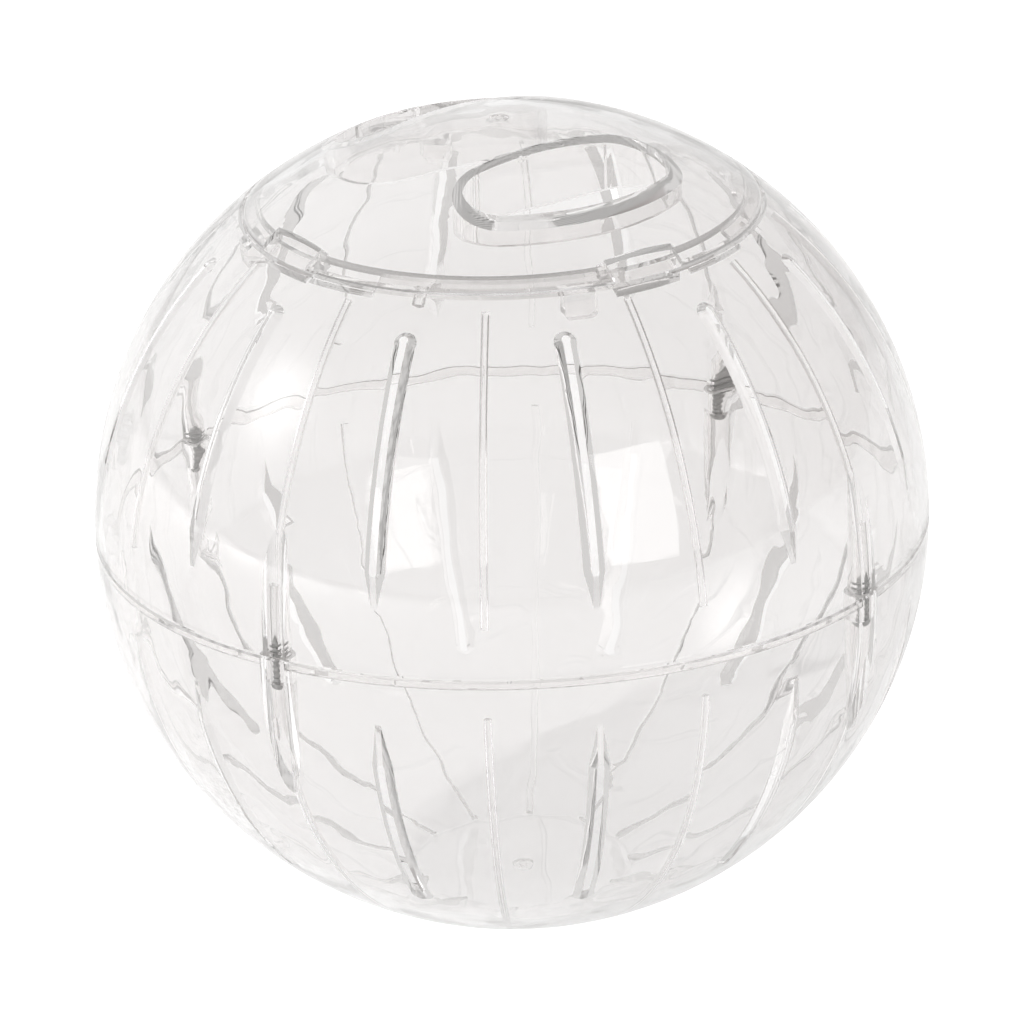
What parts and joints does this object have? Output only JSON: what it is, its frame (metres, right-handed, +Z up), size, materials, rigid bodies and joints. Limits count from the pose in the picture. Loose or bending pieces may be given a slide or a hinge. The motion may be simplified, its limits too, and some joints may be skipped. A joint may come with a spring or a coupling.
{
  "type": "hamster ball",
  "caption": "Clear plastic running ball for a small pet: vented half shells screwed together at the equator, a flat base and a flush twist-lock lid with finger holes.",
  "frame": {"origin": "centre of the flat base, which rests on z = 0", "axes": "+Z up along the ball's axis, through the middle of the base and of the lid; +X through one of the lid's lugs"},
  "size_m": [0.14, 0.14, 0.1374],
  "materials": {
    "clear_plastic": "clear, polished",
    "screw_steel": "bright zinc"
  },
  "bodies": {
    "ball": {"lower_shell": "clear_plastic", "upper_shell": "clear_plastic", "shell_screws": "screw_steel"},
    "lid": {"lid": "clear_plastic"}
  },
  "joints": [
    {"name": "lid_turn", "type": "hinge", "parent": "ball", "child": "lid", "pos_m": [0, 0, 0.12], "axis": [0, 0, 1], "range_deg": [-4, 28]}
  ]
}
